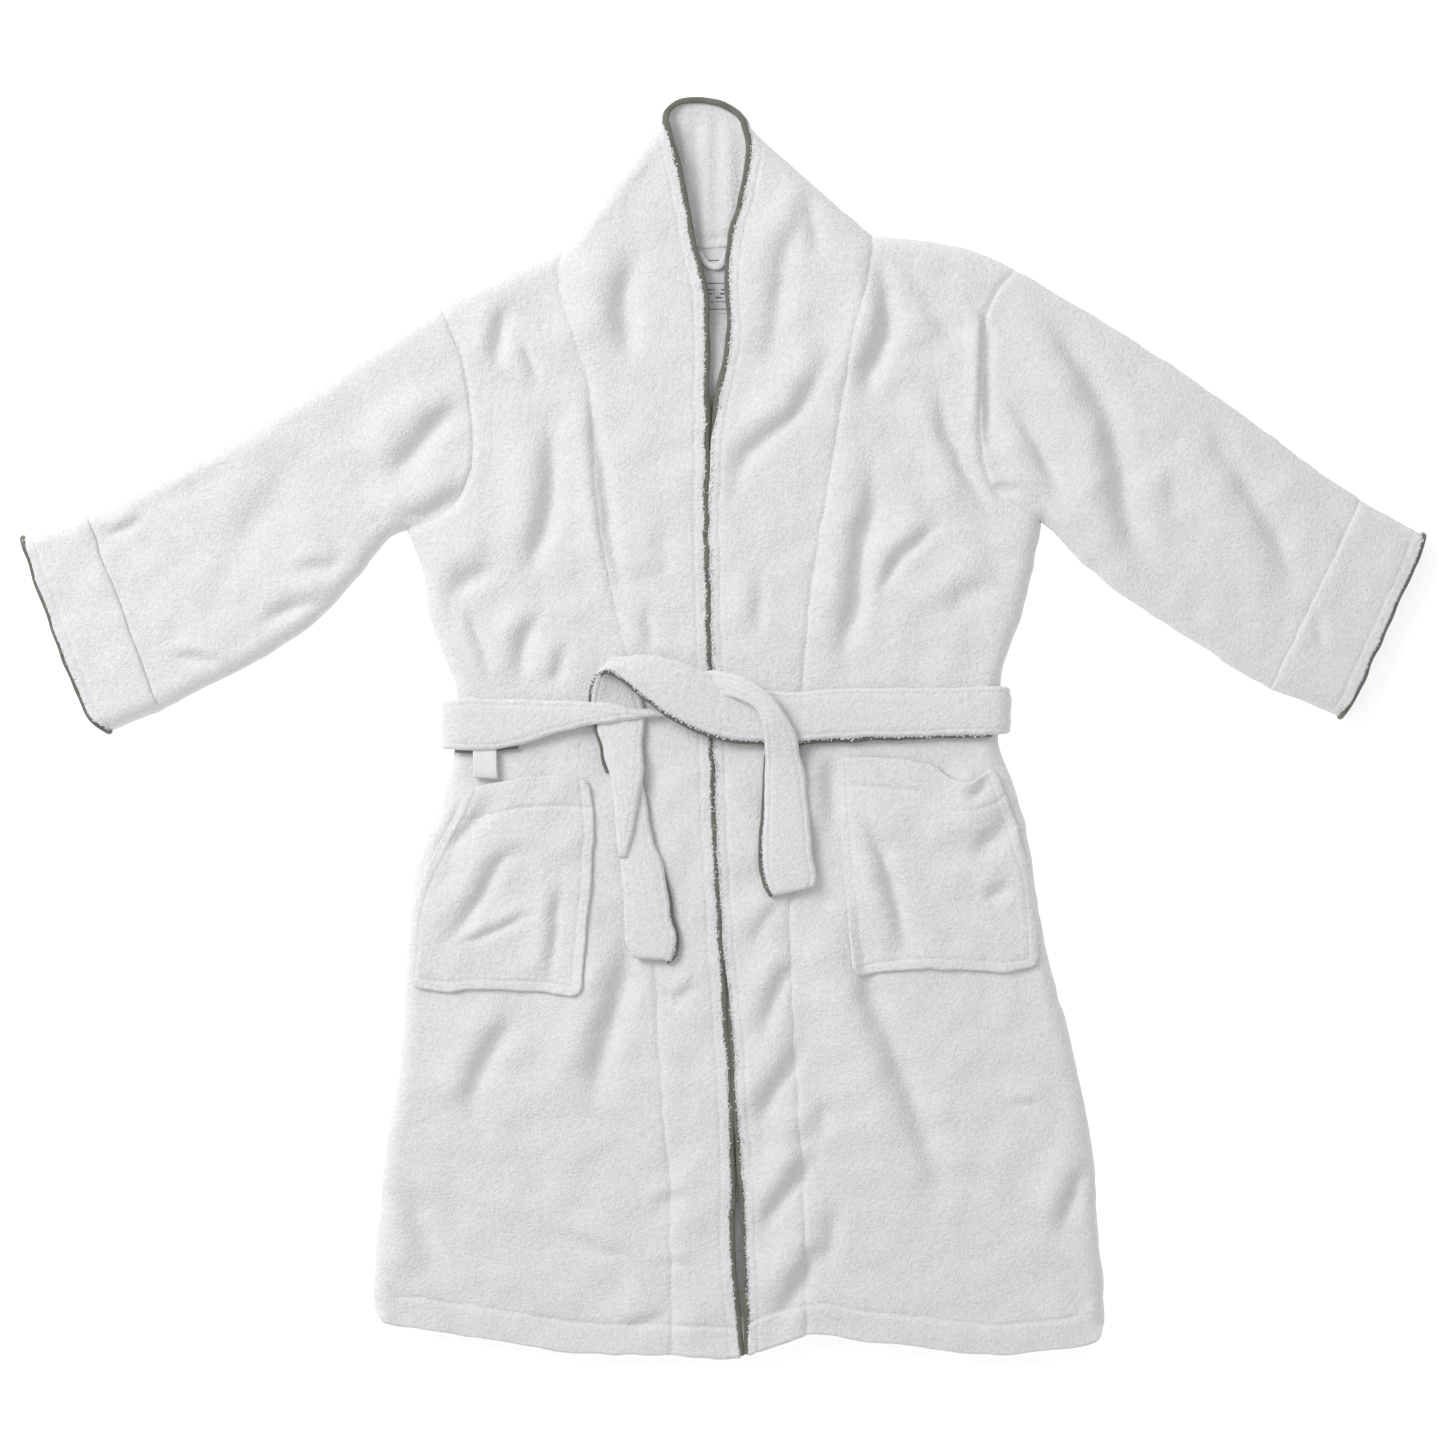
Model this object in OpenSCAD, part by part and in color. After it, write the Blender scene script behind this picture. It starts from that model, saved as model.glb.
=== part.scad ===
// Terry bathrobe laid flat: shawl collar, patch pockets, piped edges and a tied belt.
// Millimetres. X runs across the robe to the wearer's left, Y from hem to collar, Z up from
// the surface it lies on. The origin is under the middle of the robe.

/* [Cloth] */
// Thickness of one layer of towelling, pile included
cloth = 5; // [4:0.5:5.5]
// Air between the back layer and the front layer
loft = 20; // [18:1:24]
// Thickness of the doubled collar, front bands, cuffs and belt
doubled = 8; // [7:0.5:8]

/* [Trim] */
// Width of the contrast piping that shows past an edge
piping = 5; // [4:0.5:5]
// Thickness of the piping
piping_t = 5; // [3:0.5:5]
// Space inside a patch pocket
pocket_gap = 6; // [5:0.5:8]

/* [Belt] */
// Width of the belt
belt_w = 50; // [46:1:52]
// Height of the half knot above the belt
knot_t = 14; // [10:1:16]
// Thickness of the tape that the belt loops are made of
loop_tape = 1.5; // [1:0.1:1.5]

/* [Neck] */
// Width of the woven care label
label_w = 60; // [50:1:64]
// Height of the woven care label
label_h = 66; // [50:1:68]
// Radius of the hanging loop to the middle of its cord
hang_r = 19; // [16:1:20]
// Diameter of the hanging loop's cord
hang_d = 6; // [4:1:6]

/* [Hidden] */
clear = 0.4;                         // gap between pieces that move on each other
front_z = cloth + loft;              // underside of the front layer
front_top = front_z + cloth;         // top of the front layer
band_top = front_z + doubled;        // top of the lapels and front bands
belt_z = band_top + clear;           // underside of the belt's front run and of its ends
belt_top = belt_z + doubled;         // top of the belt
far = 900;                           // beyond every edge of the robe
white = "whitesmoke";
sage = "#5F6655";

collar_y = 482;                      // line along which the collar joins the body
belt_y = 8;                          // middle of the belt
skirt_top = -30;                     // top of the part of each front that swings open
hem_y = -630.5;                      // lowest point of the hem

// Outlines are [distance outward from the middle, Y]; those of the right half are mirrored
// into place. Each list runs from the top of the robe to the bottom.
right_shoulder = [[163, 476], [205, 460], [257, 436], [283, 421]];
left_shoulder = [[166, 481], [208, 484], [270, 468], [292, 458]];
right_armhole = [[283, 421], [262, 370], [251, 300], [252, 255], [275, 215], [318, 196]];
left_armhole = [[292, 458], [266, 420], [257, 341], [257, 284], [272, 235], [320, 204]];
right_side = [[318, 196], [304, 160], [295, 110], [277, 60], [267, 30], [266, -18], [281, -65],
    [300, -115], [313, -165], [325, -340], [338, -415], [348, -515], [353, -580]];
left_side = [[320, 204], [312, 170], [299, 110], [281, 60], [275, 30], [275, -18], [294, -65],
    [306, -115], [322, -214], [348, -314], [369, -415], [378, -515], [382, -585]];
right_hem = [[345, -598], [224, -612], [164, -624], [74, -629], [-30, -630]];
left_hem = [[376, -606], [267, -622], [160, -614], [97, -601], [66, -609], [36, -625], [15, -628]];
// Seam between front panel and collar, from the shoulder down to the hem.
right_seam = [[163, 476], [152, 400], [135, 341], [127, 227], [118, 165], [88, 25], [78, -25],
    [68, -235], [60, -475], [47, -650]];
left_seam = [[152, 482], [146, 440], [131, 400], [106, 245], [92, 165], [79, 50], [69, -35],
    [67, -175], [74, -275], [80, -455], [83, -650]];
// Inner edge of the lapels and front bands, where the piping is sewn on.
right_edge = [[35, 482], [25, 445], [22, 400], [20, 225], [17, 125], [14.5, 30], [14.5, -35],
    [10, -125], [5, -225], [-2, -325], [-7, -425], [-11, -525], [-16, -650]];
left_edge = [[13, 482], [8, 445], [11, 385], [5, 335], [-4, 285], [-8, 240], [-5, 125],
    [-2.5, 30], [-2.5, -35], [2, -125], [7, -225], [14, -325], [19, -425], [23, -525], [28, -650]];
// Collar above the collar line: outer fold, the neck opening's edge, the top of its back.
right_collar_fold = [[160, 482], [137, 510], [100, 560], [64, 610]];
left_collar_fold = [[160, 482], [128, 510], [71, 560], [34, 604]];
right_collar_edge = [[35, 482], [43, 510], [53, 545], [59, 590], [56, 612]];
left_collar_edge = [[13, 482], [18, 510], [26, 540], [29, 580], [27, 603]];
right_collar_top = [[56, 612], [45, 621], [17, 625.5]];
left_collar_top = [[27, 603], [10, 617], [-17, 625.5]];
// Sleeves: upper and under edge from the sleeve head to the cuff, then the cuff's corners.
right_sleeve_top = [[475, 308], [640, 211]];
left_sleeve_top = [[475, 343], [642, 222]];
right_sleeve_under = [[412, 102], [464, 67], [566, 14]];
left_sleeve_under = [[412, 122], [466, 85], [549, 34]];
right_cuff_end = [[698, 191], [612, -3]];
left_cuff_end = [[698, 191], [615, 9]];
// Line along which each lower front folds open, from just under the belt to the hem.
right_fold = [[20, skirt_top], [70, hem_y]];
left_fold = [[12, skirt_top], [105, hem_y]];
// Patch pockets, starting with the mouth.
right_pocket_outline = [[255, -68], [133, -50], [132, -120], [140, -268], [315, -256], [300, -170]];
left_pocket_outline = [[270, -46], [230, -58], [115, -38], [121, -113], [134, -250], [314, -240],
    [308, -190], [293, -115]];
// Free ends of the belt below the knot.
right_end = [[71, -22], [122, -22], [118, -65], [102, -145], [92, -235], [52, -239], [50, -225],
    [60, -135], [73, -75]];
left_end = [[43, -22], [74, -22], [85, -65], [89, -125], [94, -155], [89, -167], [55, -172],
    [43, -155], [41, -75]];
knot_base = [[-126, 22], [-113, 58], [-84, 68], [-23, 64], [21, 57], [66, 28], [80, 2], [40, 0],
    [-20, 2], [-75, 8], [-118, 6]];
knot_strap = [[-100, 50], [-80, 62], [-20, 56], [40, 34], [66, 4], [30, 4], [-20, 12], [-80, 16]];

function moved(points, by) = [for (p = points) p + by];
function turned(points) = [for (i = [len(points) - 1:-1:0]) points[i]];
// Distance outward of a line of points at height y.
function at_y(points, y) = lookup(y, [for (p = points) [p[1], p[0]]]);
// The stretch of a line of points between two heights, with an end point on each.
function stretch(points, top, bottom) = concat([[at_y(points, top), top]],
    [for (p = points) if (p[1] < top && p[1] > bottom) p], [[at_y(points, bottom), bottom]]);

// The right half is drawn outward along +X like the left one, then mirrored.
module on_right() { mirror([1, 0, 0]) children(); }

module plate(outline, z, t) { translate([0, 0, z]) linear_extrude(t) polygon(outline); }

// Flat outline of a strip that runs along a line and is as wide as the shift.
function strip(line, shift) = concat(line, turned(moved(line, shift)));

// A YZ outline drawn out across the whole robe.
module across(outline) {
    rotate([90, 0, 90]) translate([0, 0, -far]) linear_extrude(2 * far) polygon(outline);
}

// Back: flat on the surface, with a rise where the belt passes under it.
rise = doubled + clear;
back_line = [[-far, 0], [belt_y - 60, 0], [belt_y - 38, rise], [belt_y + 38, rise],
    [belt_y + 60, 0], [far, 0]];

module half_outline(shoulder, armhole, side, hem) {
    inner = hem[len(hem) - 1];
    polygon(concat([[inner[0], collar_y - clear]], shoulder, armhole, side, hem));
}

module back_panel() {
    color(white) intersection() {
        linear_extrude(front_top) union() {
            half_outline(left_shoulder, left_armhole, left_side, left_hem);
            on_right() half_outline(right_shoulder, right_armhole, right_side, right_hem);
        }
        across(strip(back_line, [0, cloth]));
    }
}

// Flat region outward of a seam.
module outward_of(seam) { polygon(concat(seam, [[far, -far], [far, seam[0][1]]])); }

// Flat region that swings open: inward of the fold line and below its top. A positive gap
// makes it smaller, a negative one larger.
module opening(fold, gap) {
    top = skirt_top - gap;
    polygon([[fold[0][0] - gap, top], [fold[1][0] - gap, hem_y], [fold[1][0] - gap, hem_y - 9],
        [-60, hem_y - 9], [-60, top]]);
}

module front_panel(shoulder, armhole, side, hem, seam, fold) {
    color(white) union() {
        translate([0, 0, front_z]) linear_extrude(cloth) difference() {
            intersection() {
                half_outline(shoulder, armhole, side, hem);
                outward_of(seam);
            }
            opening(fold, -clear);
        }
        difference() {
            union() {
                plate(strip(side, [-cloth, 0]), cloth, loft);
                plate(strip(shoulder, [-1, -cloth]), cloth, loft);
            }
            across(concat(moved(back_line, [0, cloth]), [[far, -1], [-far, -1]]));
        }
    }
}

// Flat outline of the doubled band between an edge and a seam, down to the hem.
module band_outline(edge, seam, shoulder, armhole, side, hem, top) {
    intersection() {
        polygon(concat(stretch(edge, top, -645), turned(stretch(seam, top, -645))));
        half_outline(shoulder, armhole, side, hem);
    }
}

module lapel(edge, seam) {
    top = seam[0][1] - clear;
    outline = concat(stretch(edge, collar_y - clear, belt_y), turned(stretch(seam, top, belt_y)));
    color(white) plate(outline, front_z, doubled);
}

module front_band(edge, seam, shoulder, armhole, side, hem, fold) {
    color(white) translate([0, 0, front_z]) linear_extrude(doubled) difference() {
        band_outline(edge, seam, shoulder, armhole, side, hem, belt_y);
        opening(fold, -clear);
    }
}

module skirt_band(edge, seam, shoulder, armhole, side, hem, fold) {
    color(white) translate([0, 0, front_z]) linear_extrude(doubled) intersection() {
        band_outline(edge, seam, shoulder, armhole, side, hem, belt_y);
        opening(fold, clear);
    }
}

module skirt_corner(seam, shoulder, armhole, side, hem, fold) {
    color(white) translate([0, 0, front_z]) linear_extrude(cloth) intersection() {
        half_outline(shoulder, armhole, side, hem);
        outward_of(seam);
        opening(fold, clear);
    }
}

// Piping along the inner edge of a lapel or band, level with its upper face.
module edge_piping(edge, top, bottom) {
    color(sage) plate(strip(stretch(edge, top, bottom), [-piping, 0]), band_top - piping_t, piping_t);
}

// One half of the collar: its back, the fold at the side and the front above the lapel.
module collar_half(fold, edge, top) {
    middle = top[len(top) - 1][0];
    color(white) union() {
        plate(concat(fold, turned(edge)), front_z, doubled);
        plate(strip(fold, [-doubled, -2]), doubled, loft + cloth - doubled);
        plate(concat(fold, top, [[middle, collar_y]]), 0, doubled);
    }
}

module right_collar() {
    translate([-clear, 0, 0]) on_right() collar_half(right_collar_fold, right_collar_edge, right_collar_top);
}

// Piping up each edge of the neck opening and along the top of the collar's back.
module collar_piping() {
    color(sage) union() {
        translate([-clear, 0, 0]) on_right() {
            plate(strip(right_collar_edge, [-piping, 0]), band_top - piping_t, piping_t);
            plate(strip(right_collar_top, [0, piping]), 1, piping_t);
        }
        plate(strip(left_collar_edge, [-piping, 0]), band_top - piping_t, piping_t);
        plate(strip(left_collar_top, [0, piping]), 1, piping_t);
        translate([-17 - clear, 625.5, 1]) cube([clear, piping, piping_t]);
    }
}

// A flat tube between an upper and an under edge, with its side walls cut square to its ends.
module tube(top, under, t) {
    outline = concat(top, turned(under));
    wall_shift = [-0.5 * t, -t];
    union() {
        plate(outline, 0, t);
        plate(outline, front_top - t, t);
        intersection() {
            plate(outline, t, front_top - 2 * t);
            union() {
                plate(strip(top, wall_shift), 0, front_top);
                plate(strip(under, -wall_shift), 0, front_top);
            }
        }
    }
}

// The part of the sleeve at the armhole, which bends as the sleeve swings.
module sleeve_head(armhole, top, under) {
    start = armhole[0];
    crotch = armhole[len(armhole) - 1];
    top_end = top[0] - [clear, 0];
    under_end = under[0] - [clear, 0];
    color(white) union() {
        for (z = [0, front_z])
            plate(concat(armhole, [under_end, top_end]), z, cloth);
        plate(strip([start + [3, -1.9], top_end], [-2, -4.3]), cloth, loft);
        plate(strip([crotch, under_end], [2, 4.3]), cloth, loft);
    }
}

module sleeve(top, under) { color(white) tube(top, under, cloth); }

module cuff(top, under, end) {
    color(white) tube([top[len(top) - 1], end[0]], [under[len(under) - 1], end[1]], doubled);
}

// Piping round the mouth of the cuff.
module cuff_piping(end) {
    out = [4.5, -2.1];
    color(sage) difference() {
        plate(strip(end, out), 0.5, front_top - 1);
        translate([0, 0, 0.5 + piping_t]) linear_extrude(front_top - 1 - 2 * piping_t)
            polygon([end[0] * 0.96 + end[1] * 0.04 - out, end[0] * 0.96 + end[1] * 0.04 + 2 * out,
                end[0] * 0.04 + end[1] * 0.96 + 2 * out, end[0] * 0.04 + end[1] * 0.96 - out]);
    }
}

// A patch pocket: the patch and the three sides along which it is sewn down.
module pocket(outline, mouth_points) {
    sewn = concat([for (i = [mouth_points - 1:len(outline) - 1]) outline[i]], [outline[0]]);
    middle = [215, -130];
    inner = [for (p = sewn) middle + (p - middle) * 0.95];
    color(white) union() {
        plate(outline, front_top + pocket_gap, cloth);
        plate(concat(sewn, turned(inner)), front_top, pocket_gap);
    }
}

// The belt is one flat ring round the waist.
belt_right = -277;
belt_left = 284;
module belt() {
    inset = doubled - 0.6;
    color(white) translate([0, belt_y + belt_w / 2, 0]) rotate([90, 0, 0]) linear_extrude(belt_w)
        difference() {
            polygon([[belt_right, 0], [belt_left, 0], [belt_left, belt_top], [belt_right, belt_top]]);
            polygon([[belt_right + inset, doubled], [belt_left - inset, doubled],
                [belt_left - inset, belt_z], [belt_right + inset, belt_z]]);
        }
}

belt_low = belt_y - belt_w / 2;      // lower edge of the belt
module belt_piping() {
    color(sage) translate([belt_right + 6, belt_low - 3, belt_z + 2])
        cube([belt_left - belt_right - 12, 3, 4]);
}

module belt_knot() {
    color(white) union() {
        plate(knot_base, belt_top, knot_t * 0.6);
        plate(knot_strap, belt_top + knot_t * 0.6, knot_t * 0.4);
    }
}

module belt_end(outline) { color(white) plate(outline, belt_z, doubled); }

module belt_end_piping(line, shift) { color(sage) plate(strip(line, shift), belt_z + 2, 4); }

// A loop of tape under the belt. The right one slips out below the belt and stands open.
loop_w = 24;
module belt_loop(x, open) {
    low = front_top + 0.1;
    top = belt_z - 0.2;
    slipped = [[belt_low - 3.6, top], [belt_low - 9, top + 5.4], [belt_low - 31, top + 5.4],
        [belt_low - 35, top + 1], [belt_low - 35, low]];
    hollow = [[belt_low - 5, low + loop_tape], [belt_low - 10, top + 5.4 - loop_tape],
        [belt_low - 30, top + 5.4 - loop_tape], [belt_low - 33, top], [belt_low - 33, low + loop_tape]];
    color(white) translate([x, 0, 0]) rotate([90, 0, 90]) linear_extrude(loop_w) difference() {
        polygon(concat([[belt_y + 18, low], [belt_y + 18, top]], open ? slipped :
            [[belt_low + 3, top], [belt_low + 3, low]]));
        if (open) polygon(hollow);
    }
}

module care_label() {
    color("white") translate([-9 - label_w / 2, collar_y - 2 - label_h, cloth])
        cube([label_w, label_h, 1]);
}

// The hanging loop lies below the collar seam, between the back and the lapels.
module hanging_loop() {
    color(white) translate([-9, collar_y - 4, cloth + 2 + hang_d / 2]) rotate([0, 0, 180])
        rotate_extrude(angle = 180, $fn = 48) translate([hang_r, 0]) circle(d = hang_d, $fn = 24);
}

back_panel();
on_right()  // right_front_panel
    front_panel(right_shoulder, right_armhole, right_side, right_hem, right_seam, right_fold);
front_panel(left_shoulder, left_armhole, left_side, left_hem, left_seam, left_fold);  // left_front_panel
on_right() lapel(right_edge, right_seam);  // right_lapel
lapel(left_edge, left_seam);  // left_lapel
on_right()  // right_lapel_piping
    edge_piping(right_edge, collar_y - clear, skirt_top + clear);
edge_piping(left_edge, collar_y - clear, skirt_top + clear);  // left_lapel_piping
on_right() front_band(right_edge, right_seam,  // right_front_band
    right_shoulder, right_armhole, right_side, right_hem, right_fold);
front_band(left_edge, left_seam,  // left_front_band
    left_shoulder, left_armhole, left_side, left_hem, left_fold);
on_right() pocket(right_pocket_outline, 2);  // right_pocket
pocket(left_pocket_outline, 3);  // left_pocket
belt_loop(-250, true);  // right_belt_loop
belt_loop(232, false);  // left_belt_loop
belt();
belt_piping();
belt_knot();
care_label();
on_right()  // right_sleeve_head
    sleeve_head(right_armhole, right_sleeve_top, right_sleeve_under);
sleeve_head(left_armhole, left_sleeve_top, left_sleeve_under);  // left_sleeve_head
on_right() sleeve(right_sleeve_top, right_sleeve_under);  // right_sleeve
on_right()  // right_cuff
    cuff(right_sleeve_top, right_sleeve_under, right_cuff_end);
on_right() cuff_piping(right_cuff_end);  // right_cuff_piping
sleeve(left_sleeve_top, left_sleeve_under);  // left_sleeve
cuff(left_sleeve_top, left_sleeve_under, left_cuff_end);  // left_cuff
cuff_piping(left_cuff_end);  // left_cuff_piping
right_collar();
collar_half(left_collar_fold, left_collar_edge, left_collar_top);  // left_collar
collar_piping();
on_right() skirt_band(right_edge, right_seam,  // right_skirt_band
    right_shoulder, right_armhole, right_side, right_hem, right_fold);
on_right()  // right_skirt_corner
    skirt_corner(right_seam, right_shoulder, right_armhole, right_side, right_hem, right_fold);
on_right()  // right_skirt_piping
    edge_piping(right_edge, skirt_top - clear, hem_y);
skirt_band(left_edge, left_seam,  // left_skirt_band
    left_shoulder, left_armhole, left_side, left_hem, left_fold);
skirt_corner(left_seam, left_shoulder, left_armhole, left_side, left_hem, left_fold);  // left_skirt_corner
edge_piping(left_edge, skirt_top - clear, hem_y);  // left_skirt_piping
on_right() belt_end(right_end);  // right_belt_end
on_right()  // right_belt_end_piping
    belt_end_piping([[60, -135], [50, -225], [52, -239]], [-3, 0]);
belt_end(left_end);  // left_belt_end
belt_end_piping([[41, -75], [43, -155], [55, -172]], [-3, 0]);  // left_belt_end_piping
hanging_loop();
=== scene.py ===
"""White terry bathrobe laid flat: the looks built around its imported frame.

Outlines and heights are in millimetres in the frame shared with the CAD: X to the wearer's left,
Y from hem to collar, Z up from the surface. The outlines of a side are (distance outward from
the middle, Y).
"""

import bmesh
import bpy
import numpy as np
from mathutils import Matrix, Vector


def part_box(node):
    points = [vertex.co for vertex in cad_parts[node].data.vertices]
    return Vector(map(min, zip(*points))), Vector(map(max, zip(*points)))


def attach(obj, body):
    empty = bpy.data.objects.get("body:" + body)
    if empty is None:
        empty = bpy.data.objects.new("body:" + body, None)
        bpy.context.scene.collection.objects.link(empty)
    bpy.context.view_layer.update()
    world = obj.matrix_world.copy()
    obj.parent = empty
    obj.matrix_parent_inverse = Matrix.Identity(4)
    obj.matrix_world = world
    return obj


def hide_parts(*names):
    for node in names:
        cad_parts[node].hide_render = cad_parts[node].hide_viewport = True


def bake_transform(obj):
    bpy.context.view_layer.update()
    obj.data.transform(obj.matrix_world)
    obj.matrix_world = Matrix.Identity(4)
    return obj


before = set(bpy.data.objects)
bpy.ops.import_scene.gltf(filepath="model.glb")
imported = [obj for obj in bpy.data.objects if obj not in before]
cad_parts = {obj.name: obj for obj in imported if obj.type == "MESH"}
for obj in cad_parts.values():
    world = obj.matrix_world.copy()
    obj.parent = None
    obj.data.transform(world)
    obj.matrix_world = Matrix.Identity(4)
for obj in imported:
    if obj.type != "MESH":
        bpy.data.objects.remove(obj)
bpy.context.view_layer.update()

MM = 0.001
VIEW_WIDTH = 1.445  # metres
VIEW_LEVEL = 0.03  # height in metres at which the picture is that wide
VIEW_CENTRE = (-0.001, 0.003)
LENS = 100.0
SENSOR = 36.0


def make_camera():
    """Straight above the robe, as wide as the picture."""
    data = bpy.data.cameras.new("camera")
    data.lens = LENS
    data.sensor_width = SENSOR
    camera = bpy.data.objects.new("camera", data)
    bpy.context.collection.objects.link(camera)
    camera.location = (*VIEW_CENTRE, VIEW_WIDTH * LENS / SENSOR + VIEW_LEVEL)
    bpy.context.scene.camera = camera


make_camera()

# ---- heights and thicknesses
RIM = 13.0  # height at which front and back meet along a rolled edge
ROLL = 17.0  # width of a rolled edge
FRONT = 30.0  # top of the front panels and sleeves
BAND = 33.0  # top of the lapels, front bands and cuffs
CLOTH = 4.6  # one layer of towelling
DOUBLED = 7.0  # lapels, bands, cuffs and collar
PIPING = 6.4  # width of the piping that shows
BELT_Y = 8.0  # middle of the belt
BELT_T = 8.0  # thickness of the padded belt
COLLAR_Y = 482.0  # line on which the collar folds

SIDES = ("right", "left")
SIGN = {"right": -1, "left": 1}

# ---- outlines
SHOULDER = {
    "right": [(163, 476), (205, 460), (257, 436), (283, 421)],
    "left": [(151, 491), (180, 489), (208, 486), (250, 477), (292, 458)],
}
ARMHOLE = {
    "right": [(283, 421), (262, 370), (251, 300), (252, 255), (275, 215), (318, 196)],
    "left": [(292, 458), (266, 420), (257, 341), (257, 284), (272, 235), (320, 204)],
}
SIDE = {
    "right": [(318, 196), (304, 160), (295, 110), (277, 60), (267, 30), (269, -18), (281, -65),
              (300, -115), (313, -165), (325, -340), (338, -415), (348, -515), (352, -565),
              (350, -587)],
    "left": [(320, 204), (312, 165), (299, 110), (281, 60), (277, 30), (277, -18), (293, -65),
             (306, -115), (322, -214), (348, -315), (369, -415), (377, -515), (382, -570),
             (382, -597)],
}
HEM = {
    "right": [(-19, -630), (6, -630), (58, -628), (146, -626), (198, -618), (302, -602),
              (338, -597), (350, -587)],
    "left": [(22, -629), (46, -620), (80, -609), (108, -608), (136, -614), (182, -618),
             (232, -625), (278, -628), (320, -624), (362, -618), (376, -612), (382, -597)],
}
SEAM = {
    "right": [(163, 476), (165, 440), (150, 390), (135, 341), (127, 227), (118, 165), (88, 25),
              (80, -60), (67, -275), (60, -388), (54, -455), (51, -650)],
    "left": [(151, 491), (143, 440), (131, 396), (106, 245), (92, 165), (79, 50), (72, -60),
             (66, -175), (68, -262), (74, -375), (80, -455), (84, -650)],
}
COLLAR_FOLD = {
    "right": [(62, 613), (81, 586), (100, 560), (120, 535), (137, 511), (163, 476)],
    "left": [(24, 603), (46, 582), (71, 560), (98, 535), (128, 510), (151, 491)],
}
SLEEVE_TOP = {
    "right": [(283, 421), (341, 385), (415, 336), (501, 286), (588, 237), (640, 213)],
    "left": [(292, 458), (374, 410), (451, 361), (522, 311), (590, 261), (640, 226)],
}
SLEEVE_UNDER = {
    "right": [(318, 196), (338, 185), (378, 136), (412, 102), (464, 67), (525, 36), (566, 14)],
    "left": [(320, 204), (364, 160), (412, 122), (466, 88), (509, 60), (549, 36)],
}
CUFF_END = {
    "right": [(701, 190), (688, 152), (669, 101), (651, 53), (632, 10), (614, -5)],
    "left": [(701, 192), (684, 152), (665, 110), (646, 68), (630, 32), (617, 10)],
}
# Middle of the piping down each front edge, from the top of the neck opening to the hem.
PIPED_EDGE = {
    "right": [(57, 604), (50, 577), (42, 545), (36, 514), (31, 485), (23, 451), (18, 430),
              (17, 345), (17, 165), (14, 65), (12, -20), (10, -98), (6, -165), (3, -220),
              (-1, -285), (-6, -357), (-8, -411), (-9, -465), (-9, -531), (-14, -582),
              (-19, -640)],
    "left": [(20, 604), (25, 583), (25, 563), (20, 538), (14, 514), (7, 485), (4, 451),
             (5, 420), (6, 388), (-2, 346), (-10, 305), (-14, 272), (-16, 165), (-13, 65),
             (-11, -20), (-9, -98), (-5, -165), (-1, -220), (4, -266), (9, -327), (11, -373),
             (15, -419), (18, -465), (21, -531), (23, -582), (23, -640)],
}
NECK_TOP = [(-57, 604), (-56, 614), (-48, 623), (-35, 627), (-18, 627), (0, 622), (13, 614),
            (20, 604)]
POCKET = {
    "right": {
        "mouth": [(136, -54), (180, -52), (232, -59), (255, -66)],
        "inner": [(136, -54), (132, -90), (133, -135), (138, -192), (144, -269)],
        "outer": [(255, -66), (288, -130), (308, -178), (316, -256)],
        "bottom": [(144, -269), (178, -265), (244, -262), (288, -264), (316, -256)],
    },
    "left": {
        "mouth": [(114, -33), (142, -33), (204, -39), (230, -56), (249, -57), (270, -42)],
        "inner": [(114, -33), (117, -90), (123, -157), (133, -251)],
        "outer": [(270, -42), (283, -77), (295, -113), (308, -157), (314, -240)],
        "bottom": [(133, -251), (163, -244), (230, -242), (275, -245), (314, -240)],
    },
}

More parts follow.
